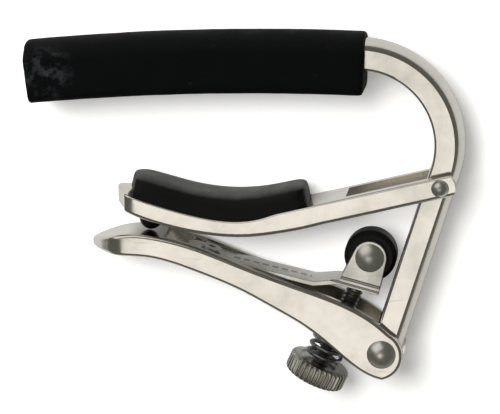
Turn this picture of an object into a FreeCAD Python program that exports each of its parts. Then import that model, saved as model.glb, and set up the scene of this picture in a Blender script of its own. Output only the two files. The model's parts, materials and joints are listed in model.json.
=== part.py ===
"""Lever-operated guitar capo, lying on its side.

The capo's own plane is XY: +X points from the open end of the sleeve towards
the bend of the bar, +Y from the lever towards the sleeve, and +Z across the
capo's width, upwards. Everything is drawn around the lever's pivot and is
moved at the end, so that the origin is under the middle of the whole object.
Millimetres.
"""
import FreeCAD
import Part
import math
import os

V = FreeCAD.Vector
Z_UP = V(0, 0, 1)

# ---- driving dimensions -------------------------------------------------
PIVOT_X = 23.624         # lever pivot in the part's frame
PIVOT_Y = -23.967
HALF_WIDTH = 6.1         # middle plane to the rivet tails that the capo lies on

BAR_DEPTH = 5.25         # D-section bar, in the capo's plane
BAR_WIDTH = 6.6
BAR_CROWN = 1.7          # height of the bar's rounded back
BAR_EDGE = 0.55          # rounding of the bar's inner edges
BEND_RADIUS = 15.4       # centre line of the bend
CROWN_RADIUS = 430.0     # slight arch of the upper leg
LEG_LEAN = 18.0          # lower leg, degrees from +Y
LEG_TO_BEND = 33.5       # lever pivot to the start of the bend
LEG_OFFSET = 0.5         # bar's centre line outside the lever pivot
LEG_TAIL = 2.6           # bar past the lever pivot
UPPER_TURN = 2.1         # upper leg's slope where it meets the bend, degrees
BAR_REACH = 57.3         # bend to the bar's free end

SLEEVE_LENGTH = 58.5
SLEEVE_WIDTH = 10.8
SLEEVE_BACK = 1.05       # rubber behind the bar
SLEEVE_FRONT = 4.1       # rubber on the string side
SLEEVE_PAST_BEND = 0.55  # sleeve's length past the upper leg
SLEEVE_CROWN = 2.6       # height of the sleeve's rounded back
SLEEVE_EDGE = 1.3        # rounding beside the string side
SLEEVE_END_EDGE = 0.45
SLEEVE_END_AREA = 130.0  # the sleeve's end faces are smaller than this

ARM_UP_LEG = 31.2        # lever pivot to arm pivot, along the leg
ARM_TILT = 13.4          # arm's slope, degrees
ARM_HALF_DEPTH = 1.82
ARM_WIDTH = 10.4
ARM_TAIL = 2.6           # arm past its pivot, rounded about it
ARM_SLOT_LENGTH = 16.2   # pivot to the closed end of the fork
SIDE_GAP = 0.15          # clearance beside the bar in both forks

ARM_UPPER_EDGE = 0.3     # rounding along the arm's upper corners
ARM_LOWER_EDGE = 0.7     # rounding along its lower corners

PAD_WIDTH = 9.5
PAD_RECESS = 0.5         # pad's seat in the arm
PAD_END_EDGE = 1.6       # rounding of its two upright corners
PAD_BASE_Y = 10.0          # the pad is cut off here before it is laid in the arm
BUTTON_RADIUS = 2.1
BUTTON_STEM = 1.5

LEVER_WIDTH = 9.9
LEVER_EDGE = 0.6         # rounding round both flanks and the thumb tip

LEAF = 0.8               # sheet thickness of the roller bracket
LEAF_WIDTH = 6.5
LEAF_GAP = 0.15          # under the leaf and the rivet's flange, so it can tilt
ROLLER_RADIUS = 4.53
ROLLER_WIDTH = 4.5
EAR_RADIUS = 2.9
RUN = 0.05               # radial clearance of running fits

SCREW_LEAN = 65.0        # screw axis, degrees from +X
SCREW_RADIUS = 1.5
KNOB_RADIUS = 5.4
KNOB_THICKNESS = 3.3
SPRING_RADIUS = 2.95     # centre line of the wire
WIRE = 0.72

LEVER_SHANK = 1.6
ARM_SHANK = 1.1
AXLE_SHANK = 1.2


# ---- helpers ------------------------------------------------------------
def flat(point, z=0.0):
    return V(point[0], point[1], z)


def turn(degrees):
    """Unit vector in the capo's plane."""
    a = math.radians(degrees)
    return V(math.cos(a), math.sin(a), 0)


def line(a, b):
    return Part.makeLine(a, b)


def arc(a, mid, b):
    return Part.Arc(a, mid, b).toShape()


def curve(points):
    """Smooth curve through points in the capo's plane."""
    spline = Part.BSplineCurve()
    spline.interpolate([flat(p) for p in points])
    return spline.toShape()


def smooth_run(start, points, direction):
    """Smooth curve that leaves start in a direction and runs through points."""
    spline = Part.BSplineCurve()
    through = [start] + [flat(p) for p in points]
    tangent = direction * (through[1] - start).Length
    ending = (through[-1] - through[-2])
    spline.interpolate(through, InitialTangent=tangent, FinalTangent=ending)
    return spline.toShape()


def slab(edges, low, high):
    """Closed outline in the capo's plane, extruded across the width."""
    face = Part.Face(Part.Wire(Part.__sortEdges__(edges)))
    face.translate(Z_UP * low)
    return face.extrude(Z_UP * (high - low))


def polygon_slab(points, low, high):
    closed = [flat(p) for p in points] + [flat(points[0])]
    return slab(Part.makePolygon(closed).Edges, low, high)


def corners(solid, wanted):
    """Edges of a solid whose two ends and middle all pass the test."""
    found = []
    for edge in solid.Edges:
        span = edge.LastParameter - edge.FirstParameter
        if all(wanted(edge.valueAt(edge.FirstParameter + span * share)) for share in (0.02, 0.5, 0.98)):
            found.append(edge)
    return found


def disc(centre, radius, low, high):
    return Part.makeCylinder(radius, high - low, flat(centre, low), Z_UP)


def rounded_bar_plan(x_tip, x_flat, x_end, half, low_y, high_y):
    """Plan outline with an elliptical nose at x_tip, extruded along Y."""
    side = x_flat - x_tip
    corner = math.sqrt(0.5)
    near = V(x_flat, low_y, -half)
    far = V(x_flat, low_y, half)
    tip = V(x_tip, low_y, 0)
    near_mid = V(x_flat - side * corner, low_y, -half * corner)
    far_mid = V(x_flat - side * corner, low_y, half * corner)
    near_arc = Part.BSplineCurve()
    near_arc.interpolate([near, near_mid, tip, far_mid, far], InitialTangent=V(-1, 0, 0),
                         FinalTangent=V(1, 0, 0))
    edges = [near_arc.toShape(), line(far, V(x_end, low_y, half)),
             line(V(x_end, low_y, half), V(x_end, low_y, -half)), line(V(x_end, low_y, -half), near)]
    return Part.Face(Part.Wire(edges)).extrude(V(0, high_y - low_y, 0))


def dome(centre, radius, height, z, up, tip_flat=0.0):
    """Rivet head: a spherical cap, or with tip_flat a cap with a flat end."""
    if tip_flat:
        cone = Part.makeCone(radius, tip_flat, height, flat(centre, z), Z_UP * up)
        return cone
    ball_radius = (radius ** 2 + height ** 2) / (2 * height)
    ball = Part.makeSphere(ball_radius, flat(centre, z - up * (ball_radius - height)))
    low = z if up > 0 else z - height
    return ball.common(disc(centre, radius, low, low + height))


def rivet(centre, shank, head, head_height, half_grip, tail_flat):
    """Domed head above, upset tail with a flat end below."""
    body = disc(centre, shank, -half_grip, half_grip)
    body = body.fuse(dome(centre, head, head_height, half_grip, 1))
    tail = dome(centre, head, head_height, -half_grip, -1, tail_flat)
    return body.fuse(tail).removeSplitter()


# ---- layout of the bar --------------------------------------------------
LEG = turn(90 - LEG_LEAN)
OUTWARD = turn(-LEG_LEAN)
BEND_START = LEG * LEG_TO_BEND + OUTWARD * LEG_OFFSET
BEND_CENTRE = BEND_START - OUTWARD * BEND_RADIUS
BEND_END_DIRECTION = turn(90 - UPPER_TURN)
BEND_END = BEND_CENTRE + BEND_END_DIRECTION * BEND_RADIUS
CROWN_CENTRE = BEND_END - BEND_END_DIRECTION * CROWN_RADIUS
ARM_PIVOT = LEG * ARM_UP_LEG + OUTWARD * LEG_OFFSET


def section(centre, outward, depth_in, depth_out, width, crown, edge):
    """Bar section: rounded back outwards, small roundings inwards."""
    half = width / 2
    nip = edge * (1 - math.sqrt(0.5))

    def at(t, z):
        return centre + outward * t + Z_UP * z

    side = depth_out - crown
    edges = [
        line(at(-depth_in + edge, -half), at(side, -half)),
        arc(at(side, -half), at(depth_out, 0), at(side, half)),
        line(at(side, half), at(-depth_in + edge, half)),
        arc(at(-depth_in + edge, half), at(-depth_in + nip, half - nip), at(-depth_in, half - edge)),
        line(at(-depth_in, half - edge), at(-depth_in, edge - half)),
        arc(at(-depth_in, edge - half), at(-depth_in + nip, nip - half), at(-depth_in + edge, -half)),
    ]
    return Part.Face(Part.Wire(edges))


def main_bar():
    half = BAR_DEPTH / 2
    foot = OUTWARD * LEG_OFFSET - LEG * LEG_TAIL
    leg = section(foot, OUTWARD, half, half, BAR_WIDTH, BAR_CROWN, BAR_EDGE)
    leg = leg.extrude(LEG * (LEG_TO_BEND + LEG_TAIL))
    bend = section(BEND_START, OUTWARD, half, half, BAR_WIDTH, BAR_CROWN, BAR_EDGE)
    bend = bend.revolve(BEND_CENTRE, Z_UP, 90 - UPPER_TURN + LEG_LEAN)
    upper = section(BEND_END, BEND_END_DIRECTION, half, half, BAR_WIDTH, BAR_CROWN, BAR_EDGE)
    upper = upper.revolve(CROWN_CENTRE, Z_UP, math.degrees(BAR_REACH / CROWN_RADIUS))
    bar = leg.fuse([bend, upper]).removeSplitter()
    heel = disc((0, 0), LEG_TAIL + 0.4, -BAR_WIDTH, BAR_WIDTH)
    keep = polygon_slab([tuple((LEG * a + OUTWARD * b))[:2] for a, b in
                         ((0, -30), (0, 30), (80, 30), (80, -90), (0, -90))], -BAR_WIDTH, BAR_WIDTH)
    bar = bar.common(keep.fuse(heel))
    bar = bar.cut(disc((0, 0), LEVER_SHANK + RUN, -BAR_WIDTH, BAR_WIDTH))
    return bar.cut(disc(ARM_PIVOT, ARM_SHANK + RUN, -BAR_WIDTH, BAR_WIDTH))


def bar_sleeve(bar):
    half = BAR_DEPTH / 2
    turn_back = math.degrees(SLEEVE_PAST_BEND / CROWN_RADIUS)
    face = section(BEND_END, BEND_END_DIRECTION, half + SLEEVE_FRONT, half + SLEEVE_BACK,
                   SLEEVE_WIDTH, SLEEVE_CROWN, SLEEVE_EDGE)
    face.rotate(CROWN_CENTRE, Z_UP, -turn_back)
    sleeve = face.revolve(CROWN_CENTRE, Z_UP, math.degrees(SLEEVE_LENGTH / CROWN_RADIUS))
    planes = [face for face in sleeve.Faces if face.Surface.TypeId == "Part::GeomPlane"]
    ends = [face for face in planes if face.Area < SLEEVE_END_AREA]
    sleeve = sleeve.makeFillet(SLEEVE_END_EDGE, [edge for end in ends for edge in end.Edges])
    bore = section(BEND_END, BEND_END_DIRECTION, half, half, BAR_WIDTH, BAR_CROWN, BAR_EDGE)
    bore.rotate(CROWN_CENTRE, Z_UP, -turn_back)
    bore = bore.revolve(CROWN_CENTRE, Z_UP, math.degrees(SLEEVE_LENGTH / CROWN_RADIUS))
    return sleeve.cut(bore).cut(bar)


# ---- arm and pad --------------------------------------------------------
ALONG_ARM = turn(180 + ARM_TILT)     # from the pivot towards the pad
ARM_NORMAL = turn(90 + ARM_TILT)
ARM_SADDLE_TOP = [(-20.2, 23.95), (-22.6, 23.42), (-24.9, 23.25), (-27.4, 23.38), (-31.0, 23.95),
                  (-34.3, 24.72), (-38.0, 25.75), (-41.2, 26.75), (-46.5, 28.7)]
ARM_SADDLE_BOTTOM = [(-12.1, 22.28), (-18.0, 21.08), (-21.5, 20.58), (-25.1, 20.4), (-31.0, 20.87),
                     (-38.1, 22.38), (-42.9, 24.0), (-46.5, 25.6)]
ARM_NOSE_X = -46.1
ARM_FLAT_X = -40.6
PAD_RIGHT_X = -12.7
PAD_LEFT_X = -43.7
PAD_TOP = [(-12.0, 30.1), (-13.5, 29.7), (-17.9, 28.6), (-22.6, 27.85), (-27.3, 27.8), (-31.9, 28.35),
           (-36.4, 29.5), (-41.6, 31.0), (-46.5, 32.8)]
BUTTON_X = -40.4         # pad's button through the arm
BUTTON_Y = 22.3
BUTTON_STEM_TOP = 26.5


def arm_top_edges(drop):
    """Upper side of the arm, lowered by drop: line, then saddle and rise to the nose."""
    lift = ARM_HALF_DEPTH - drop
    right = ARM_PIVOT - ALONG_ARM * ARM_TAIL + ARM_NORMAL * lift
    bend = ARM_PIVOT + ALONG_ARM * 28.0 + ARM_NORMAL * lift
    saddle = smooth_run(bend, [(x, y - drop) for x, y in ARM_SADDLE_TOP], ALONG_ARM)
    nose = V(ARM_SADDLE_TOP[-1][0], ARM_SADDLE_TOP[-1][1] - drop, 0)
    return [line(right, bend), saddle], right, nose


def round_arm(arm):
    """The arm's long corners rounded, more below than above."""
    upper = Part.Wire(arm_top_edges(0)[0])

    def on_flank(p):
        return abs(abs(p.z) - ARM_WIDTH / 2) < 0.01 or p.x < ARM_FLAT_X + 0.01

    def is_upper(p):
        return upper.distToShape(Part.Vertex(flat(p)))[0] < 0.01

    lower_edges = corners(arm, lambda p: on_flank(p) and not is_upper(p))
    long_edges = [edge for edge in lower_edges if edge.Length > 2 * ARM_HALF_DEPTH + 1]
    arm = arm.makeFillet(ARM_LOWER_EDGE, long_edges)
    return arm.makeFillet(ARM_UPPER_EDGE, corners(arm, lambda p: on_flank(p) and is_upper(p)))


def swing_arm():
    top, right, nose = arm_top_edges(0)
    lower_right = ARM_PIVOT - ALONG_ARM * ARM_TAIL - ARM_NORMAL * ARM_HALF_DEPTH
    bend = ARM_PIVOT + ALONG_ARM * 20.5 - ARM_NORMAL * ARM_HALF_DEPTH
    belly = smooth_run(bend, ARM_SADDLE_BOTTOM, ALONG_ARM)
    lower_nose = flat(ARM_SADDLE_BOTTOM[-1])
    edges = top + [line(nose, lower_nose), belly, line(bend, lower_right), line(lower_right, right)]
    arm = slab(edges, -ARM_WIDTH / 2, ARM_WIDTH / 2)
    arm = arm.common(rounded_bar_plan(ARM_NOSE_X, ARM_FLAT_X, 14, ARM_WIDTH / 2, 15, 35))
    arm = round_arm(arm)
    past = ARM_PIVOT - ALONG_ARM * 5
    square_end = polygon_slab([tuple(p)[:2] for p in (ARM_PIVOT + ARM_NORMAL * 4, ARM_PIVOT - ARM_NORMAL * 4,
                                                      past - ARM_NORMAL * 4, past + ARM_NORMAL * 4)],
                              -ARM_WIDTH, ARM_WIDTH)
    arm = arm.cut(square_end.cut(disc(ARM_PIVOT, ARM_TAIL, -ARM_WIDTH, ARM_WIDTH)))
    slot_half = BAR_WIDTH / 2 + SIDE_GAP
    start = ARM_PIVOT + ALONG_ARM * ARM_SLOT_LENGTH
    end = ARM_PIVOT - ALONG_ARM * 6
    slot = polygon_slab([tuple(p)[:2] for p in (start + ARM_NORMAL * 4, start - ARM_NORMAL * 4,
                                                end - ARM_NORMAL * 4, end + ARM_NORMAL * 4)],
                        -slot_half, slot_half)
    arm = arm.cut(slot)
    arm = arm.cut(pad_space(8))
    arm = arm.cut(Part.makeCylinder(BUTTON_STEM, 8, V(BUTTON_X, 20, 0), V(0, 1, 0)))
    return arm.cut(disc(ARM_PIVOT, ARM_SHANK + RUN, -ARM_WIDTH, ARM_WIDTH))


def pad_space(height):
    """Space above the floor of the arm's recess, inside the pad's plan."""
    floor, right, nose = arm_top_edges(PAD_RECESS)
    up = V(0, height, 0)
    edges = floor + [line(nose, nose + up), line(nose + up, right + up), line(right + up, right)]
    space = slab(edges, -PAD_WIDTH / 2, PAD_WIDTH / 2)
    plan = rounded_bar_plan(PAD_LEFT_X, ARM_FLAT_X, PAD_RIGHT_X, PAD_WIDTH / 2, 10, 45)
    return space.common(plan)


def neck_pad():
    right, left = flat(PAD_TOP[0]), flat(PAD_TOP[-1])
    top = curve(PAD_TOP)
    low_left, low_right = V(left.x, PAD_BASE_Y, 0), V(right.x, PAD_BASE_Y, 0)
    under = [line(left, low_left), line(low_left, low_right), line(low_right, right)]
    plan = rounded_bar_plan(PAD_LEFT_X, ARM_FLAT_X, PAD_RIGHT_X, PAD_WIDTH / 2, 5, 45)
    pad = slab([top] + under, -PAD_WIDTH / 2, PAD_WIDTH / 2).common(plan)
    uprights = corners(pad, lambda p: abs(p.x - PAD_RIGHT_X) < 0.01 and abs(abs(p.z) - PAD_WIDTH / 2) < 0.01)
    pad = pad.makeFillet(PAD_END_EDGE, uprights)
    pad = pad.common(pad_space(12))
    stem = Part.makeCylinder(BUTTON_STEM, BUTTON_STEM_TOP - BUTTON_Y, V(BUTTON_X, BUTTON_Y, 0), V(0, 1, 0))
    button = Part.makeSphere(BUTTON_RADIUS, V(BUTTON_X, BUTTON_Y + 0.3, 0)).cut(swing_arm())
    under_arm = Part.makeBox(8, 8, 8, V(BUTTON_X - 4, 18, -4))
    return pad.fuse([stem, button.common(under_arm)])


# ---- lever --------------------------------------------------------------
TIP_X = -50.8
TIP_FLAT_X = -41.0
LEAF_PIVOT = V(-30.1, 16.64, 0)


def lever():
    top = curve([(-50.9, 19.0), (-47.5, 20.0), (-43.5, 20.6), (-39.5, 20.3), (-32.2, 18.5), (-23.9, 15.3),
                 (-13.8, 11.6), (-2.6, 6.8), (1.4, 3.6)])
    end = arc(V(1.4, 3.6, 0), V(3.6, -0.9, 0), V(0.0, -4.7, 0))
    heel = curve([(0.0, -4.7), (-3.3, -3.4), (-6.0, -1.4), (-10.2, 2.25), (-13.8, 4.95), (-18.6, 7.75),
                  (-23.9, 10.65), (-32.2, 14.1), (-40.8, 16.5), (-46.0, 16.75), (-50.9, 17.7)])
    front = line(V(-50.9, 17.7, 0), V(-50.9, 19.0, 0))
    half = LEVER_WIDTH / 2
    body = slab([top, end, heel, front], -half, half)
    body = body.common(rounded_bar_plan(TIP_X, TIP_FLAT_X, 6, half, -10, 30))
    flanks = corners(body, lambda p: abs(abs(p.z) - half) < 0.01)
    body = body.makeFillet(LEVER_EDGE, flanks)
    inner = BAR_WIDTH / 2 + SIDE_GAP
    channel = slab([
        line(V(-38.5, 21.5, 0), V(-37.6, 19.4, 0)), line(V(-37.6, 19.4, 0), V(-34.6, 17.56, 0)),
        line(V(-34.6, 17.56, 0), V(-26.6, 14.84, 0)), line(V(-26.6, 14.84, 0), V(-23.5, 12.75, 0)),
        line(V(-23.5, 12.75, 0), V(-4.7, 2.45, 0)), line(V(-4.7, 2.45, 0), V(-5.4, 0.9, 0)),
        line(V(-5.4, 0.9, 0), V(-5.4, -8, 0)), line(V(-5.4, -8, 0), V(8, -8, 0)),
        line(V(8, -8, 0), V(8, 21.5, 0)), line(V(8, 21.5, 0), V(-38.5, 21.5, 0))], -inner, inner)
    body = body.cut(channel)
    under = polygon_slab([(-14.2, 5.6), (-5.4, 0.9), (-5.4, -8), (-14.2, -8)], -inner, inner)
    body = body.cut(under)
    body = body.cut(disc((0, 0), LEVER_SHANK, -LEVER_WIDTH, LEVER_WIDTH))
    body = body.cut(along_screw(2.2, 0, 11))
    return body.cut(leaf_post(1.1, -4, 0))


# ---- leaf, roller and their rivets --------------------------------------
LEAF_SLOPE = -18.8
LEAF_UP = turn(90 + LEAF_SLOPE)
ROLLER_CENTRE = V(-2.04, 16.71, 0)


def leaf_post(radius, low, high):
    """Cylinder at the leaf's rivet, from low to high over the leaf's middle."""
    return Part.makeCylinder(radius, high - low, LEAF_PIVOT + LEAF_UP * low, LEAF_UP)


LEAF_TOP = [(-33.9, 18.35), (-26.4, 15.8), (-11.9, 12.4), (-7.7, 12.75), (-0.6, 10.85)]


def roller_bracket():
    drop = LEAF / math.cos(math.radians(15))
    under = [(x, y - drop) for x, y in reversed(LEAF_TOP)]
    leaf = polygon_slab(LEAF_TOP + under, -LEAF_WIDTH / 2, LEAF_WIDTH / 2)
    nose = rounded_bar_plan(-34.0, -31.2, 2, LEAF_WIDTH / 2, 5, 25)
    leaf = leaf.common(nose)
    base_left = (LEAF_TOP[3][0], LEAF_TOP[3][1] - drop)
    base_right = (LEAF_TOP[4][0], LEAF_TOP[4][1] - drop)
    crown = V(ROLLER_CENTRE.x, ROLLER_CENTRE.y + EAR_RADIUS, 0)
    left_side = ROLLER_CENTRE + turn(156) * EAR_RADIUS
    right_side = ROLLER_CENTRE + turn(-12) * EAR_RADIUS
    outline = [line(flat(base_left), flat(base_right)), line(flat(base_right), right_side),
               arc(right_side, crown, left_side), line(left_side, flat(base_left))]
    ears = []
    for side in (-1, 1):
        outer = side * LEAF_WIDTH / 2
        inner = side * (LEAF_WIDTH / 2 - LEAF)
        ears.append(slab(outline, min(outer, inner), max(outer, inner)))
    bracket = leaf.fuse(ears).removeSplitter()
    bracket = bracket.cut(disc(ROLLER_CENTRE, AXLE_SHANK, -LEAF_WIDTH, LEAF_WIDTH))
    return bracket.cut(leaf_post(1.25, -3, 3))


def bracket_rivet():
    shank = leaf_post(1.1, -3.0, 1.0)
    head = leaf_post(1.75, LEAF / 2 + LEAF_GAP + 0.05, 1.0)
    bore = leaf_post(0.6, -0.6, 2)
    return shank.fuse(head).removeSplitter().cut(bore)


def roller():
    body = disc(ROLLER_CENTRE, ROLLER_RADIUS, -ROLLER_WIDTH / 2, ROLLER_WIDTH / 2)
    rims = [e for e in body.Edges if abs(e.Length - 2 * math.pi * ROLLER_RADIUS) < 0.01]
    body = body.makeChamfer(0.7, rims)
    return body.cut(disc(ROLLER_CENTRE, 1.55 + RUN, -ROLLER_WIDTH, ROLLER_WIDTH))


def roller_spacer():
    half = LEAF_WIDTH / 2 - LEAF
    tube = disc(ROLLER_CENTRE, 1.55, -half, half)
    return tube.cut(disc(ROLLER_CENTRE, AXLE_SHANK, -half, half))


# ---- screw, knob and spring ---------------------------------------------
SCREW_AXIS = turn(SCREW_LEAN)
KNOB_CENTRE = V(-11.64, -4.25, 0)
SCREW_TIP = 16.68        # knob's middle to the screw's tip
WEB_UNDER = 7.43         # knob's middle to the underside of the lever's web


def along_screw(radius, low, high):
    return Part.makeCylinder(radius, high - low, KNOB_CENTRE + SCREW_AXIS * low, SCREW_AXIS)


def adjusting_screw():
    body = along_screw(SCREW_RADIUS, -KNOB_THICKNESS / 2, SCREW_TIP)
    tips = [e for e in body.Edges if (e.CenterOfMass - KNOB_CENTRE).dot(SCREW_AXIS) > SCREW_TIP - 0.1]
    return body.makeFillet(0.6, tips)


def screw_nut():
    nut = along_screw(2.2, WEB_UNDER + 0.2, WEB_UNDER + 3.1)
    return nut.cut(along_screw(SCREW_RADIUS + RUN, 0, 20))


def thumb_knob():
    knob = along_screw(KNOB_RADIUS, -KNOB_THICKNESS / 2, KNOB_THICKNESS / 2)
    knob = knob.makeChamfer(0.35, knob.Edges[:1] + knob.Edges[2:3])
    return knob.cut(along_screw(SCREW_RADIUS, -5, 5))


def knob_spring():
    """Compression coil between the knob and the lever's web."""
    low = KNOB_THICKNESS / 2 + WIRE / 2 + 0.02
    high = WEB_UNDER - WIRE / 2 - 0.25
    turns = 3.25
    steps = 40

    def on_coil(k):
        a = 2 * math.pi * turns * k / steps
        return V(SPRING_RADIUS * math.cos(a), SPRING_RADIUS * math.sin(a), (high - low) * k / steps)

    path = Part.BSplineCurve()
    path.interpolate([on_coil(k) for k in range(steps + 1)])
    start = on_coil(0)
    profile = Part.Wire(Part.makeCircle(WIRE / 2, start, path.tangent(path.FirstParameter)[0]))
    coil = Part.Wire(path.toShape()).makePipeShell([profile], True, True)
    coil.Placement = FreeCAD.Placement(KNOB_CENTRE + SCREW_AXIS * low, FreeCAD.Rotation(Z_UP, SCREW_AXIS))
    return coil


# ---- write the parts ----------------------------------------------------
def export():
    os.makedirs("parts", exist_ok=True)
    bar = main_bar()
    grip = LEAF_WIDTH / 2
    shapes = {
        "main_bar": bar,
        "bar_sleeve": bar_sleeve(bar),
        "swing_arm": swing_arm(),
        "arm_rivet": rivet(ARM_PIVOT, ARM_SHANK, 1.5, HALF_WIDTH - ARM_WIDTH / 2, ARM_WIDTH / 2, 1.2),
        "neck_pad": neck_pad(),
        "lever": lever(),
        "lever_rivet": rivet((0, 0), LEVER_SHANK, 2.5, HALF_WIDTH - LEVER_WIDTH / 2, LEVER_WIDTH / 2, 1.9),
        "roller_bracket": roller_bracket(),
        "bracket_rivet": bracket_rivet(),
        "roller": roller(),
        "roller_axle": rivet(ROLLER_CENTRE, AXLE_SHANK, 2.5, 1.0, grip, 1.9),
        "roller_spacer": roller_spacer(),
        "screw_nut": screw_nut(),
        "adjusting_screw": adjusting_screw(),
        "thumb_knob": thumb_knob(),
        "knob_spring": knob_spring(),
    }
    box = FreeCAD.BoundBox()
    for name, shape in shapes.items():
        shape.translate(V(PIVOT_X, PIVOT_Y, HALF_WIDTH))
        solids = len(shape.Solids)
        print(f"{name:18s} solids {solids} valid {shape.isValid()} volume {shape.Volume:9.2f} mm3")
        shape.exportStep(f"parts/{name}.step")
        box.add(shape.BoundBox)
    print("box", [round(v, 3) for v in (box.XMin, box.YMin, box.ZMin, box.XMax, box.YMax, box.ZMax)])
    for name, point in (("arm pivot", ARM_PIVOT), ("roller", ROLLER_CENTRE), ("leaf", LEAF_PIVOT),
                        ("knob", KNOB_CENTRE)):
        print(name, [round(v, 4) for v in (point.x + PIVOT_X, point.y + PIVOT_Y)])


export()
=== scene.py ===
"""Looks for the guitar capo: nickel plate, black rubber, a knurled knob and a soft studio light."""

import json
import math

import bmesh
import bpy
from mathutils import Matrix, Vector, noise


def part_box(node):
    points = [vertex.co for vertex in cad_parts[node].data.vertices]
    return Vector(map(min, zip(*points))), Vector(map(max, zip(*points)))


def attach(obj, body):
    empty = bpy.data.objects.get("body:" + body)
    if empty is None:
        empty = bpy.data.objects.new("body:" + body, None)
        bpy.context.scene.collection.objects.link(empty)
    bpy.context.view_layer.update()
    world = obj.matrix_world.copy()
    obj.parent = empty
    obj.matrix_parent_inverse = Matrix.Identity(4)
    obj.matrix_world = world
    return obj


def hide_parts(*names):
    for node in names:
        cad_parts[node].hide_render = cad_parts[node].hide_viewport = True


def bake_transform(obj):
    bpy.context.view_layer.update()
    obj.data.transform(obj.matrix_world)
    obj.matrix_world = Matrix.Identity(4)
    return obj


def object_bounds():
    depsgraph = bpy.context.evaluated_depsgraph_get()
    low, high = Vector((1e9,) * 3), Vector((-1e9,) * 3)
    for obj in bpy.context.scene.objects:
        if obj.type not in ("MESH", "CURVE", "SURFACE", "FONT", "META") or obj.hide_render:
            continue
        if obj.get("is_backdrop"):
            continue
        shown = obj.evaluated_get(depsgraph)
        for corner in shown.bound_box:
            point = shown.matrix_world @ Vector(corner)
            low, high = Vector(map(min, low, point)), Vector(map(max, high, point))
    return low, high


MM = 0.001
LEAF_SLOPE = math.radians(-13.2)
PAD_RISE_LEFT = 4.2 * MM          # the pad's ends above its lowest crest
PAD_RISE_RIGHT = 1.9 * MM
PAD_LOWEST_AT = 0.58              # share of the pad's length where its crest is lowest
DASH_START = (3.9, -0.85, 0)      # from the leaf's rivet, in mm
DASH_BEAT = 0.85 * MM             # half of the step from dash to dash
DASH_GAP = 0.32 * MM              # half of the gap between dashes
DASH_RUN = 14.2 * MM
DASH_HALF_WIDTH = 0.62 * MM
EAR_LEAN = math.radians(-15.1)
EAR_OUT = 2.7 * MM                # the ears stand further than this from the middle plane
CREASES = ((-4.65 * MM, 0.3 * MM), (-5.55 * MM, 0.22 * MM))    # height under the roller, half width
KNOB_RADIUS = 5.4 * MM
KNOB_THICKNESS = 3.3 * MM
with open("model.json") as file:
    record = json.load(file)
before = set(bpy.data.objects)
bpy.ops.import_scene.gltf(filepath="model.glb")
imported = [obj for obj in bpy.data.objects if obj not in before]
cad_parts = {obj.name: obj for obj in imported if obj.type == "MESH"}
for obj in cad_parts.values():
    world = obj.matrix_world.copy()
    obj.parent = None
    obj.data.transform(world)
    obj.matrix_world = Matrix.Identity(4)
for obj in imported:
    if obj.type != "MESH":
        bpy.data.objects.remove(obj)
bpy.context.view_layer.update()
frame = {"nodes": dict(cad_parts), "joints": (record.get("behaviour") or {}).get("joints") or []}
NODES = frame["nodes"]
JOINTS = {joint["name"]: joint for joint in frame["joints"]}


# --- shader node helpers -------------------------------------------------------------------------

def node(tree, kind, **settings):
    """A shader node with its settings and, by socket name, its input values or links."""
    made = tree.nodes.new("ShaderNode" + kind)
    inputs = settings.pop("inputs", {})
    for name, value in settings.items():
        setattr(made, name, value)
    for name, value in inputs.items():
        socket = made.inputs[name]
        if isinstance(value, bpy.types.NodeSocket):
            tree.links.new(value, socket)
        else:
            socket.default_value = value
    return made


def shader_group(name, inputs, outputs):
    """An empty shader node group with named float, colour or vector sockets."""
    kinds = {"value": "NodeSocketFloat", "colour": "NodeSocketColor", "vector": "NodeSocketVector"}
    group = bpy.data.node_groups.new(name, "ShaderNodeTree")
    for label, kind, default in inputs:
        socket = group.interface.new_socket(label, in_out="INPUT", socket_type=kinds[kind])
        if default is not None:
            socket.default_value = default
    for label, kind in outputs:
        group.interface.new_socket(label, in_out="OUTPUT", socket_type=kinds[kind])
    return group, group.nodes.new("NodeGroupInput"), group.nodes.new("NodeGroupOutput")


def placed(tree, group, **inputs):
    """A node group placed in a material, its inputs given by name with spaces as underscores."""
    made = tree.nodes.new("ShaderNodeGroup")
    made.node_tree = group
    for name, value in inputs.items():
        socket = made.inputs[name.replace("_", " ")]
        if isinstance(value, bpy.types.NodeSocket):
            tree.links.new(value, socket)
        else:
            socket.default_value = value
    return made


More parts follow.
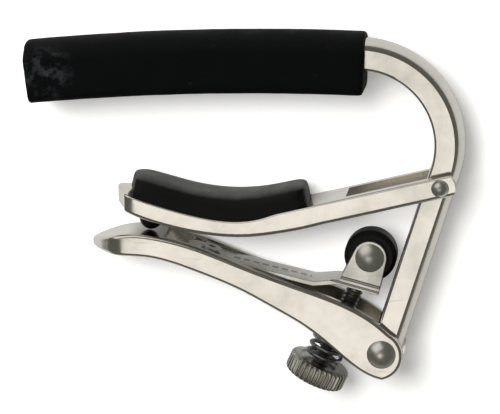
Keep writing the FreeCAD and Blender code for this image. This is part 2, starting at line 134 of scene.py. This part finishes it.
def handling_marks():
    """Soft smears and fine hairline scratches, as on plate that is handled and carried in a case."""
    group, given, out = shader_group(
        "handling_marks",
        [("Place", "vector", None), ("Smear Size", "value", 160.0), ("Hairline Size", "value", 900.0),
         ("Grain Size", "value", 5000.0)],
        [("Smear", "value"), ("Hairline", "value"), ("Grain", "value")])
    smear = node(group, "TexNoise", inputs={"Vector": given.outputs["Place"], "Detail": 4.0,
                                            "Roughness": 0.6, "Scale": given.outputs["Smear Size"]})
    softened = node(group, "MapRange", inputs={"Value": smear.outputs["Fac"], "From Min": 0.35,
                                               "From Max": 0.7})
    stretched = node(group, "Mapping", inputs={"Vector": given.outputs["Place"], "Rotation": (0.0, 0.0, 0.45),
                                               "Scale": (0.12, 1.0, 0.5)})
    lines = node(group, "TexNoise", inputs={"Vector": stretched.outputs[0], "Detail": 2.0, "Distortion": 0.4,
                                            "Scale": given.outputs["Hairline Size"]})
    crossed = node(group, "Mapping", inputs={"Vector": given.outputs["Place"], "Rotation": (0.0, 0.0, -0.9),
                                             "Scale": (0.08, 1.0, 0.6)})
    more = node(group, "TexNoise", inputs={"Vector": crossed.outputs[0], "Detail": 2.0, "Distortion": 0.3,
                                           "Scale": given.outputs["Hairline Size"]})
    both = node(group, "Math", operation="MAXIMUM", inputs={0: lines.outputs["Fac"], 1: more.outputs["Fac"]})
    thin = node(group, "MapRange", inputs={"Value": both.outputs[0], "From Min": 0.7, "From Max": 0.8})
    grain = node(group, "TexNoise", inputs={"Vector": given.outputs["Place"], "Detail": 3.0,
                                            "Scale": given.outputs["Grain Size"]})
    group.links.new(softened.outputs[0], out.inputs["Smear"])
    group.links.new(thin.outputs[0], out.inputs["Hairline"])
    group.links.new(grain.outputs["Fac"], out.inputs["Grain"])
    return group


def pressed_line():
    """A narrow groove pressed along a straight line: 1 in the groove, falling to 0 at its sides."""
    group, given, out = shader_group(
        "pressed_line",
        [("Place", "vector", None), ("Origin", "vector", None), ("Across", "vector", None),
         ("Offset", "value", 0.0), ("Half Width", "value", 0.0001)],
        [("Groove", "value")])
    moved = node(group, "VectorMath", operation="SUBTRACT", inputs={0: given.outputs["Place"],
                                                                    1: given.outputs["Origin"]})
    height = node(group, "VectorMath", operation="DOT_PRODUCT", inputs={0: moved.outputs["Vector"],
                                                                        1: given.outputs["Across"]})
    away = node(group, "Math", operation="SUBTRACT", inputs={0: height.outputs["Value"],
                                                             1: given.outputs["Offset"]})
    distance = node(group, "Math", operation="ABSOLUTE", inputs={0: away.outputs[0]})
    share = node(group, "Math", operation="DIVIDE", inputs={0: distance.outputs[0],
                                                            1: given.outputs["Half Width"]})
    groove = node(group, "MapRange", interpolation_type="SMOOTHSTEP",
                  inputs={"Value": share.outputs[0], "From Min": 0.4, "From Max": 1.0, "To Min": 1.0,
                          "To Max": 0.0})
    group.links.new(groove.outputs[0], out.inputs["Groove"])
    return group


def edge_rub():
    """Where an outside edge has rubbed: greyer rubber along the corners."""
    group, given, out = shader_group("edge_rub", [("Place", "vector", None), ("Reach", "value", 0.57)],
                                     [("Rub", "value")])
    shape = node(group, "NewGeometry")
    broken = node(group, "TexNoise", inputs={"Vector": given.outputs["Place"], "Scale": 700.0, "Detail": 4.0})
    jitter = node(group, "MapRange", inputs={"Value": broken.outputs["Fac"], "To Min": -0.04, "To Max": 0.04})
    edge = node(group, "Math", operation="ADD", inputs={0: shape.outputs["Pointiness"], 1: jitter.outputs[0]})
    above = node(group, "Math", operation="SUBTRACT", inputs={0: edge.outputs[0], 1: given.outputs["Reach"]})
    rub = node(group, "Math", operation="MULTIPLY", use_clamp=True, inputs={0: above.outputs[0], 1: 12.0})
    group.links.new(rub.outputs[0], out.inputs["Rub"])
    return group


MARKS = handling_marks()
RUB = edge_rub()
GROOVE = pressed_line()


def new_material(name):
    """A material with only its Principled shader and output: (material, node tree, shader, object place)."""
    made = bpy.data.materials.new(name)
    made.use_nodes = True
    tree = made.node_tree
    shader = tree.nodes["Principled BSDF"]
    place = node(tree, "TexCoord").outputs["Object"]
    return made, tree, shader, place


def plated(name, colour, dull, roughness, bump=0.02):
    """Nickel plate over steel: slightly uneven gloss, faint smears and hairlines."""
    made, tree, shader, place = new_material(name)
    marks = placed(tree, MARKS, Place=place)
    tone = node(tree, "MixRGB", inputs={"Fac": marks.outputs["Smear"], "Color1": (*colour, 1),
                                        "Color2": (*dull, 1)})
    scratched = node(tree, "MixRGB", inputs={"Fac": marks.outputs["Hairline"], "Color1": tone.outputs[0],
                                             "Color2": tuple(0.93 * c for c in dull) + (1,)})
    tree.links.new(scratched.outputs[0], shader.inputs["Base Color"])
    gloss = node(tree, "MapRange", inputs={"Value": marks.outputs["Smear"], "To Min": roughness,
                                           "To Max": roughness + 0.1})
    rough = node(tree, "Math", operation="MULTIPLY_ADD",
                 inputs={0: marks.outputs["Hairline"], 1: 0.06, 2: gloss.outputs[0]})
    tree.links.new(rough.outputs[0], shader.inputs["Roughness"])
    shader.inputs["Metallic"].default_value = 1.0
    relief = node(tree, "Math", operation="MULTIPLY_ADD",
                  inputs={0: marks.outputs["Hairline"], 1: -0.25, 2: marks.outputs["Grain"]})
    bumped = node(tree, "Bump", inputs={"Strength": bump, "Distance": 0.05 * MM, "Height": relief.outputs[0]})
    tree.links.new(bumped.outputs[0], shader.inputs["Normal"])
    return made


def coined_strip(name, colour, dull, roughness):
    """Stamped strip: plated, with a row of plain dashes along the leaf and two creases across each ear,
    pressed in by a bump and darkened in colour as painted shade in the grooves.
    """
    made = plated(name, colour, dull, roughness, bump=0.05)
    tree = made.node_tree
    shader = tree.nodes["Principled BSDF"]
    place = tree.nodes["Texture Coordinate"].outputs["Object"]
    rivet = Vector(JOINTS["leaf_lift"]["pos_m"])
    roller = Vector(JOINTS["roller_spin"]["pos_m"])
    along = (math.cos(LEAF_SLOPE), math.sin(LEAF_SLOPE), 0)
    start = rivet + Vector(DASH_START) * MM
    moved = node(tree, "VectorMath", operation="SUBTRACT", inputs={0: place, 1: start})
    run = node(tree, "VectorMath", operation="DOT_PRODUCT", inputs={0: moved.outputs["Vector"], 1: along})
    beat = node(tree, "Math", operation="PINGPONG", inputs={0: run.outputs["Value"], 1: DASH_BEAT})
    dash = node(tree, "Math", operation="GREATER_THAN", inputs={0: beat.outputs[0], 1: DASH_GAP})
    after = node(tree, "Math", operation="GREATER_THAN", inputs={0: run.outputs["Value"], 1: 0.0})
    before = node(tree, "Math", operation="LESS_THAN", inputs={0: run.outputs["Value"], 1: DASH_RUN})
    row = placed(tree, GROOVE, Place=place, Origin=start, Across=(0, 0, 1), Half_Width=DASH_HALF_WIDTH)
    marks = dash
    for limit in (after.outputs[0], before.outputs[0], row.outputs["Groove"]):
        marks = node(tree, "Math", operation="MULTIPLY", inputs={0: marks.outputs[0], 1: limit})
    across = (-math.sin(EAR_LEAN), math.cos(EAR_LEAN), 0)
    upper, lower = [placed(tree, GROOVE, Place=place, Origin=roller, Across=across, Offset=offset,
                           Half_Width=half_width) for offset, half_width in CREASES]
    both = node(tree, "Math", operation="MAXIMUM", inputs={0: upper.outputs["Groove"],
                                                           1: lower.outputs["Groove"]})
    middle = node(tree, "VectorMath", operation="SUBTRACT", inputs={0: place, 1: roller})
    side = node(tree, "SeparateXYZ", inputs={0: middle.outputs["Vector"]})
    out = node(tree, "Math", operation="ABSOLUTE", inputs={0: side.outputs["Z"]})
    ear = node(tree, "Math", operation="GREATER_THAN", inputs={0: out.outputs[0], 1: EAR_OUT})
    creases = node(tree, "Math", operation="MULTIPLY", inputs={0: both.outputs[0], 1: ear.outputs[0]})
    groove_depth_and_shade = node(tree, "Math", operation="MAXIMUM", inputs={0: marks.outputs[0], 1: creases.outputs[0]})
    # Painted shade: the dashes and creases are darkened to (0.30, 0.30, 0.27) in the base colour. The dent
    # below gives them their real depth.
    plain = shader.inputs["Base Color"].links[0].from_socket
    shade = node(tree, "MixRGB", inputs={"Fac": groove_depth_and_shade.outputs[0], "Color1": plain,
                                         "Color2": (0.30, 0.30, 0.27, 1)})
    tree.links.new(shade.outputs[0], shader.inputs["Base Color"])
    dent = node(tree, "Bump", invert=True, inputs={"Strength": 0.7, "Distance": 0.12 * MM,
                                                   "Height": groove_depth_and_shade.outputs[0],
                                                   "Normal": shader.inputs["Normal"].links[0].from_socket})
    tree.links.new(dent.outputs[0], shader.inputs["Normal"])
    return made


def moulded(name, colour, wear_and_sheen, roughness, grain, bump, rub, shine):
    """Black moulded rubber or plastic: fine grain, soft scuffs and greyed edges."""
    made, tree, shader, place = new_material(name)
    marks = placed(tree, MARKS, Place=place, Grain_Size=grain, Smear_Size=220.0)
    edge = placed(tree, RUB, Place=place)
    scuffed = node(tree, "Math", operation="MULTIPLY", use_clamp=True,
                   inputs={0: edge.outputs["Rub"], 1: rub})
    soft = node(tree, "Math", operation="MULTIPLY_ADD", use_clamp=True,
                inputs={0: marks.outputs["Smear"], 1: 0.1, 2: scuffed.outputs[0]})
    tone = node(tree, "MixRGB", inputs={"Fac": soft.outputs[0], "Color1": (*colour, 1), "Color2": (*wear_and_sheen, 1)})
    tree.links.new(tone.outputs[0], shader.inputs["Base Color"])
    rough = node(tree, "MapRange", inputs={"Value": marks.outputs["Smear"], "To Min": roughness,
                                           "To Max": roughness + 0.14})
    tree.links.new(rough.outputs[0], shader.inputs["Roughness"])
    shader.inputs["Specular IOR Level"].default_value = shine
    bumped = node(tree, "Bump", inputs={"Strength": bump, "Distance": 0.1 * MM,
                                        "Height": marks.outputs["Grain"]})
    tree.links.new(bumped.outputs[0], shader.inputs["Normal"])
    return made


def dusty_end(made, centre, reach):
    """Pale dust rubbed into the sleeve near its open end, in broken patches."""
    tree = made.node_tree
    shader = tree.nodes["Principled BSDF"]
    place = tree.nodes["Texture Coordinate"].outputs["Object"]
    near = node(tree, "VectorMath", operation="DISTANCE", inputs={0: place, 1: centre})
    fall = node(tree, "MapRange", interpolation_type="SMOOTHSTEP",
                inputs={"Value": near.outputs["Value"], "From Min": 0.2 * reach, "From Max": reach,
                        "To Min": 1.0, "To Max": 0.0})
    cloud = node(tree, "TexNoise", inputs={"Vector": place, "Scale": 420.0, "Detail": 5.0, "Roughness": 0.75})
    patch = node(tree, "MapRange", inputs={"Value": cloud.outputs["Fac"], "From Min": 0.48, "From Max": 0.72})
    dust = node(tree, "Math", operation="MULTIPLY", inputs={0: fall.outputs[0], 1: patch.outputs[0]})
    lint = node(tree, "TexVoronoi", feature="F1", inputs={"Vector": place, "Scale": 260.0})
    fleck = node(tree, "MapRange", inputs={"Value": lint.outputs["Distance"], "From Min": 0.03,
                                           "From Max": 0.055, "To Min": 0.25, "To Max": 0.0})
    all_dust = node(tree, "Math", operation="MAXIMUM", inputs={0: dust.outputs[0], 1: fleck.outputs[0]})
    plain = shader.inputs["Base Color"].links[0].from_socket
    tone = node(tree, "MixRGB", inputs={"Fac": all_dust.outputs[0], "Color1": plain,
                                        "Color2": (0.032, 0.036, 0.039, 1)})
    tree.links.new(tone.outputs[0], shader.inputs["Base Color"])


def painted_pad_sheen(made):
    """Painted sheen on the pad's neck side: its base colour greyed where the surface faces +Y, standing in
    for light reflected there, by the pad's own per-vertex value.
    """
    tree = made.node_tree
    shader = tree.nodes["Principled BSDF"]
    place = tree.nodes["Texture Coordinate"].outputs["Object"]
    top_sheen = node(tree, "Attribute", attribute_name="top_sheen")
    cloud = node(tree, "TexNoise", inputs={"Vector": place, "Scale": 330.0, "Detail": 3.0})
    uneven = node(tree, "MapRange", inputs={"Value": cloud.outputs["Fac"], "From Min": 0.3, "From Max": 0.7,
                                            "To Min": 0.55, "To Max": 1.0})
    wear_and_sheen = node(tree, "Math", operation="MULTIPLY", inputs={0: top_sheen.outputs["Fac"], 1: uneven.outputs[0]})
    plain = shader.inputs["Base Color"].links[0].from_socket
    # Painted sheen: grey 0.075 mixed into the base colour where the surface faces +Y, broken up by noise.
    tone = node(tree, "MixRGB", inputs={"Fac": wear_and_sheen.outputs[0], "Color1": plain,
                                        "Color2": (0.075, 0.075, 0.075, 1)})
    tree.links.new(tone.outputs[0], shader.inputs["Base Color"])


def finish_with(obj, material, smooth_below=32.0):
    """One material all over, smooth shading except across real edges."""
    obj.data.materials.clear()
    obj.data.materials.append(material)
    for face in obj.data.polygons:
        face.use_smooth = True
    obj.data.set_sharp_from_angle(angle=math.radians(smooth_below))


def merged_copy(name):
    """A bmesh of a machined piece with its doubles merged."""
    shape = bmesh.new()
    shape.from_mesh(NODES[name].data)
    bmesh.ops.remove_doubles(shape, verts=shape.verts, dist=0.002 * MM)
    return shape


def made_from(shape, name):
    """The bmesh as a new object at the origin."""
    mesh = bpy.data.meshes.new(name)
    shape.to_mesh(mesh)
    shape.free()
    piece = bpy.data.objects.new(name, mesh)
    bpy.context.scene.collection.objects.link(piece)
    return piece


def pad_crest(x, low, high):
    """Height at x of the pad's saddle-shaped neck side, for a pad whose box runs from low to high."""
    bottom = high.y - PAD_RISE_LEFT
    middle = low.x + PAD_LOWEST_AT * (high.x - low.x)
    left = (x - middle) / (middle - low.x)
    right = (x - middle) / (high.x - middle)
    return bottom + (PAD_RISE_LEFT * left * left if x < middle else PAD_RISE_RIGHT * right * right)


def moulded_copy(name, voxel, rounds, ripple, material, body, top_rounds=0, top_depth=0.0):
    """Rubber moulded to a piece's shape: even mesh, softened corners and a slightly uneven skin.
    With top_rounds, the side that faces the neck is softened more, down to top_depth below its crest."""
    rough = made_from(merged_copy(name), name + "_mould")
    even = rough.modifiers.new("even_mesh", "REMESH")
    even.mode = "VOXEL"
    even.voxel_size = voxel
    bpy.context.view_layer.update()
    cast = bpy.data.meshes.new_from_object(rough.evaluated_get(bpy.context.evaluated_depsgraph_get()))
    bpy.data.objects.remove(rough)
    shape = bmesh.new()
    shape.from_mesh(cast)
    bpy.data.meshes.remove(cast)
    for _ in range(rounds):
        bmesh.ops.smooth_vert(shape, verts=shape.verts, factor=0.5, use_axis_x=True, use_axis_y=True,
                              use_axis_z=True)
    low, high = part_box(name)
    crest = [vert for vert in shape.verts if vert.co.y > pad_crest(vert.co.x, low, high) - top_depth]
    for _ in range(top_rounds):
        bmesh.ops.smooth_vert(shape, verts=crest, factor=0.5, use_axis_x=True, use_axis_y=True,
                              use_axis_z=True)
    shape.normal_update()
    for vert in shape.verts:
        slow = noise.noise(vert.co * 130.0)
        fast = noise.noise(vert.co * 520.0)
        vert.co += vert.normal * ripple * (slow + 0.35 * fast)
    piece = made_from(shape, name + "_rubber")
    finish_with(piece, material, 180.0)
    if top_rounds:
        # Painted sheen value for the pad's material: 1 where the vertex normal faces well towards +Y, falling
        # to 0 below.
        top_sheen = piece.data.attributes.new("top_sheen", "FLOAT", "POINT")
        for value, vert in zip(top_sheen.data, piece.data.vertices):
            value.value = min(1.0, max(0.0, (vert.normal.y - 0.55) / 0.4))
    return settled(piece, body, name)


def from_node(name, body, edge, material):
    """A softened copy of a pressed piece: flats joined up and every corner rounded by edge."""
    shape = merged_copy(name)
    bmesh.ops.dissolve_limit(shape, verts=shape.verts, edges=shape.edges, angle_limit=math.radians(0.4))
    piece = made_from(shape, name + "_finished")
    rounding = piece.modifiers.new("rounded_edges", "BEVEL")
    rounding.width = edge
    rounding.segments = 2
    rounding.limit_method = "ANGLE"
    rounding.angle_limit = math.radians(30.0)
    rounding.harden_normals = True
    rounding.use_clamp_overlap = False
    finish_with(piece, material)
    settled(piece, body, name)


def settled(piece, body, node_name):
    """The piece rides its body and stands for its machined shape."""
    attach(piece, body)
    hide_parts(node_name)
    return piece


def pressed_spring():
    """The knob spring, held by the lever at one end and the knob at the other, copied as the machined coil
    stands with its wire finish; its ends along the screw are found but not used.
    """
    spring = made_from(merged_copy("knob_spring"), "coil_spring")
    finish_with(spring, WIRE)
    turn = JOINTS["screw_turn"]
    centre, axis = Vector(turn["pos_m"]), Vector(turn["axis"]).normalized()
    reach = [(vert.co - centre).dot(axis) for vert in spring.data.vertices]
    ends = [centre + axis * min(reach), centre + axis * max(reach)]
    low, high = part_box("thumb_knob")
    ends.sort(key=lambda end: -(end - (low + high) / 2).length)
    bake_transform(spring)
    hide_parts("knob_spring")


def put_on_axis(shape, centre, axis):
    """Turns a shape made along +Z to the axis and moves it to centre."""
    turn = Vector((0, 0, 1)).rotation_difference(Vector(axis)).to_matrix().to_4x4()
    bmesh.ops.transform(shape, matrix=Matrix.Translation(centre) @ turn, verts=shape.verts)


def knurled_knob():
    """A thick disc with straight knurls round it, rounded rims and a dished top."""
    turn = JOINTS["screw_turn"]
    teeth, per_tooth = 32, 8
    shape = bmesh.new()
    bmesh.ops.create_cone(shape, cap_ends=True, segments=teeth * per_tooth, radius1=KNOB_RADIUS,
                          radius2=KNOB_RADIUS, depth=KNOB_THICKNESS)
    caps = [face for face in shape.faces if len(face.verts) > 4]
    rims = list(dict.fromkeys(edge for cap in caps for edge in cap.edges))
    bmesh.ops.bevel(shape, geom=rims, offset=0.55 * MM, segments=4, profile=0.5, affect="EDGES", material=-1)
    caps = [face for face in shape.faces if len(face.verts) > 4]
    bmesh.ops.inset_individual(shape, faces=caps, thickness=0.9 * MM, depth=0)
    bmesh.ops.inset_individual(shape, faces=caps, thickness=0.25 * MM, depth=-0.22 * MM)
    for vert in shape.verts:
        reach = math.hypot(vert.co.x, vert.co.y)
        edge = max(0.0, (reach - (KNOB_RADIUS - 0.6 * MM)) / (0.6 * MM))
        angle = math.atan2(vert.co.y, vert.co.x) * teeth
        groove = (0.5 + 0.5 * math.cos(angle)) ** 2
        sunk = 1 - 0.42 * MM * groove * edge / reach
        vert.co.x *= sunk
        vert.co.y *= sunk
    put_on_axis(shape, Vector(turn["pos_m"]), turn["axis"])
    knob = made_from(shape, "knurled_knob")
    finish_with(knob, KNOB, 38.0)
    settled(knob, "screw", "thumb_knob")


def threaded_screw():
    """The adjusting screw: a rolled thread from the knob to its rounded tip."""
    turn = JOINTS["screw_turn"]
    pitch, crest, root, around = 0.7 * MM, 1.49 * MM, 1.12 * MM, 24
    start, stop = -0.9 * MM, 15.9 * MM
    turns = math.ceil((stop - start) / pitch) + 2
    shape = bmesh.new()
    tooth = [(crest, 0.0), (crest, 0.10), (root, 0.44), (root, 0.60), (crest, 1.0)]
    corners = [shape.verts.new((r, 0, start - pitch + z * pitch)) for r, z in tooth]
    edges = [shape.edges.new(pair) for pair in zip(corners, corners[1:])]
    bmesh.ops.spin(shape, geom=corners + edges, cent=(0, 0, 0), axis=(0, 0, 1), dvec=(0, 0, pitch / around),
                   angle=2 * math.pi * turns, steps=around * turns, use_merge=False)
    bmesh.ops.remove_doubles(shape, verts=shape.verts, dist=0.004 * MM)
    for height, side in ((start, -1), (stop, 1)):
        everything = shape.verts[:] + shape.edges[:] + shape.faces[:]
        cut = bmesh.ops.bisect_plane(shape, geom=everything, dist=0.0005 * MM, plane_co=(0, 0, height),
                                     plane_no=(0, 0, side), clear_outer=True)
        rim = [item for item in cut["geom_cut"] if isinstance(item, bmesh.types.BMEdge)]
        bmesh.ops.edgeloop_fill(shape, edges=rim)
    tip_points = [(0.0, 15.7), (1.15, 15.7), (1.15, 16.25), (0.95, 16.52), (0.6, 16.66), (0.0, 16.68)]
    tip = [shape.verts.new((r * MM, 0, z * MM)) for r, z in tip_points]
    tip_edges = [shape.edges.new(pair) for pair in zip(tip, tip[1:])]
    bmesh.ops.spin(shape, geom=tip + tip_edges, cent=(0, 0, 0), axis=(0, 0, 1), dvec=(0, 0, 0),
                   angle=2 * math.pi, steps=48, use_merge=True)
    bmesh.ops.remove_doubles(shape, verts=shape.verts, dist=0.003 * MM)
    bmesh.ops.recalc_face_normals(shape, faces=shape.faces)
    put_on_axis(shape, Vector(turn["pos_m"]), turn["axis"])
    screw = made_from(shape, "threaded_screw")
    finish_with(screw, THREAD, 30.0)
    settled(screw, "screw", "adjusting_screw")


NICKEL = plated("warm_nickel_plate", (0.84, 0.81, 0.76), (0.77, 0.74, 0.69), 0.13)
STRIP = coined_strip("coined_nickel_strip", (0.80, 0.79, 0.75), (0.66, 0.65, 0.61), 0.24)
RIVET = plated("rivet_plate", (0.84, 0.83, 0.80), (0.70, 0.69, 0.66), 0.3)
# Painted shade: a darker copy of the nickel plate, standing in for the shade among the knob's knurls.
KNOB = plated("knurl_plate", (0.60, 0.59, 0.54), (0.38, 0.37, 0.33), 0.2)
TURNED = plated("turned_steel", (0.55, 0.55, 0.54), (0.4, 0.4, 0.39), 0.28)
# Painted reflection: the thread's base colour is made dark, standing in for the black roller reflected in it.
THREAD = plated("thread_painted_dark", (0.32, 0.31, 0.29), (0.18, 0.17, 0.16), 0.3)
WIRE = plated("spring_wire", (0.34, 0.36, 0.38), (0.16, 0.17, 0.19), 0.2)
SLEEVE = moulded("sleeve_rubber", (0.0022, 0.0024, 0.0026), (0.008, 0.009, 0.010), 0.5, 7000.0, 0.3, 0.2,
                 0.05)
PAD = moulded("pad_rubber", (0.003, 0.003, 0.003), (0.012, 0.012, 0.012), 0.38, 8000.0, 0.12, 0.0, 0.14)
ROLLER = moulded("roller_plastic", (0.003, 0.003, 0.003), (0.012, 0.012, 0.012), 0.35, 4000.0, 0.1, 0.3,
                 0.16)
sleeve_low, sleeve_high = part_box("bar_sleeve")
dusty_end(SLEEVE, (sleeve_low.x + 4.2 * MM, sleeve_low.y + 5.6 * MM, sleeve_high.z), 6.5 * MM)
# Painted sheen on the pad's upward-facing neck side, greyed in its base colour.
painted_pad_sheen(PAD)

for material, names in ((NICKEL, ("main_bar", "swing_arm", "lever")),
                        (RIVET, ("arm_rivet", "lever_rivet", "bracket_rivet", "roller_axle")),
                        (TURNED, ("roller_spacer", "screw_nut")),
                        (ROLLER, ("roller",))):
    for name in names:
        finish_with(NODES[name], material)
moulded_copy("bar_sleeve", 0.32 * MM, 3, 0.035 * MM, SLEEVE, "frame")
pad = moulded_copy("neck_pad", 0.24 * MM, 10, 0.02 * MM, PAD, "arm", 240, 3.0 * MM)
pressed_spring()
from_node("roller_bracket", "leaf", 0.12 * MM, STRIP)
knurled_knob()
threaded_screw()


# --- table, light and camera ---------------------------------------------------------------------

def table_top():
    """The plain white table the capo lies on, faintly self-lit and darker in mirror reflections."""
    shape = bmesh.new()
    bmesh.ops.create_grid(shape, x_segments=8, y_segments=8, size=1.5)
    bmesh.ops.translate(shape, vec=(0, 0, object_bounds()[0].z - 0.02 * MM), verts=shape.verts)
    mesh = bpy.data.meshes.new("table_top")
    shape.to_mesh(mesh)
    shape.free()
    table = bpy.data.objects.new("table_top", mesh)
    bpy.context.scene.collection.objects.link(table)
    made, tree, shader, place = new_material("white_table")
    soft = node(tree, "TexNoise", inputs={"Vector": place, "Scale": 3.0})
    tone = node(tree, "MixRGB", inputs={"Fac": soft.outputs["Fac"], "Color1": (0.86, 0.86, 0.86, 1),
                                        "Color2": (0.89, 0.89, 0.885, 1)})
    tree.links.new(tone.outputs[0], shader.inputs["Base Color"])
    shader.inputs["Roughness"].default_value = 0.7
    shader.inputs["Specular IOR Level"].default_value = 0.1
    tree.links.new(tone.outputs[0], shader.inputs["Emission Color"])
    shader.inputs["Emission Strength"].default_value = 0.32
    shaded = node(tree, "BsdfDiffuse", inputs={"Color": (0.10, 0.10, 0.08, 1)})
    path = node(tree, "LightPath")
    mirrored = node(tree, "Math", operation="MULTIPLY", inputs={0: path.outputs["Is Glossy Ray"], 1: 0.55})
    mixed = node(tree, "MixShader", inputs={0: mirrored.outputs[0], 1: shader.outputs[0],
                                            2: shaded.outputs[0]})
    tree.links.new(mixed.outputs[0], tree.nodes["Material Output"].inputs["Surface"])
    table.data.materials.append(made)
    table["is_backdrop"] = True


def soft_light(name, place, aim, size, power, colour, mirrored=True):
    """A rectangular soft box at place, turned to aim. Without mirrored it shows in no reflection."""
    data = bpy.data.lights.new(name, "AREA")
    data.shape = "RECTANGLE"
    data.size, data.size_y = size
    data.energy = power
    data.color = colour
    lamp = bpy.data.objects.new(name, data)
    bpy.context.scene.collection.objects.link(lamp)
    lamp.location = place
    lamp.visible_glossy = mirrored
    lamp.rotation_mode = "QUATERNION"
    lamp.rotation_quaternion = (Vector(aim) - Vector(place)).to_track_quat("-Z", "Y")


def studio():
    """A box that the flat faces mirror, a key that only lights and casts shadow, a dim fill that the rounded
    parts mirror, and a room that is pale to the camera and dark in reflections."""
    soft_light("overhead_box", (-0.080, -0.147, 0.62), (0, 0, 0), (0.27, 0.25), 0.20, (1.0, 0.965, 0.915))
    soft_light("key_box", (-0.20, 0.27, 0.62), (0, 0, 0), (0.42, 0.42), 6.0, (1.0, 0.995, 0.985), False)
    soft_light("fill_box", (-0.34, 0.42, 0.50), (0, 0, 0), (0.80, 0.70), 1.25, (1.0, 0.985, 0.95))
    world = bpy.data.worlds.new("dim_room")
    world.use_nodes = True
    tree = world.node_tree
    room = tree.nodes["Background"]
    room.inputs["Color"].default_value = (0.10, 0.10, 0.085, 1)
    room.inputs["Strength"].default_value = 1.0
    pale = node(tree, "Background", inputs={"Color": (0.92, 0.92, 0.92, 1), "Strength": 1.0})
    seen = node(tree, "LightPath").outputs["Is Camera Ray"]
    mixed = node(tree, "MixShader", inputs={0: seen, 1: room.outputs[0], 2: pale.outputs[0]})
    tree.links.new(mixed.outputs[0], tree.nodes["World Output"].inputs["Surface"])
    bpy.context.scene.world = world


def camera():
    """A long lens high over the capo, leaning from the far right."""
    eye = Vector((58.16, 101.65, 431.82)) * MM
    aim = Vector((1.27, 1.88, 11.10)) * MM
    back = (eye - aim).normalized()
    right = Vector((0, 1, 0)).cross(back).normalized()
    turned = Matrix.Rotation(-0.017, 4, "Z")
    axes = Matrix((right, back.cross(right), back)).transposed().to_4x4()
    data = bpy.data.cameras.new("camera")
    data.lens = 183.6
    data.sensor_width = 36.0
    data.clip_start = 0.01
    data.clip_end = 20.0
    made = bpy.data.objects.new("camera", data)
    bpy.context.scene.collection.objects.link(made)
    made.matrix_world = Matrix.Translation(eye) @ axes @ turned
    bpy.context.scene.camera = made


table_top()
studio()
camera()
bpy.context.scene.view_settings.view_transform = "Standard"
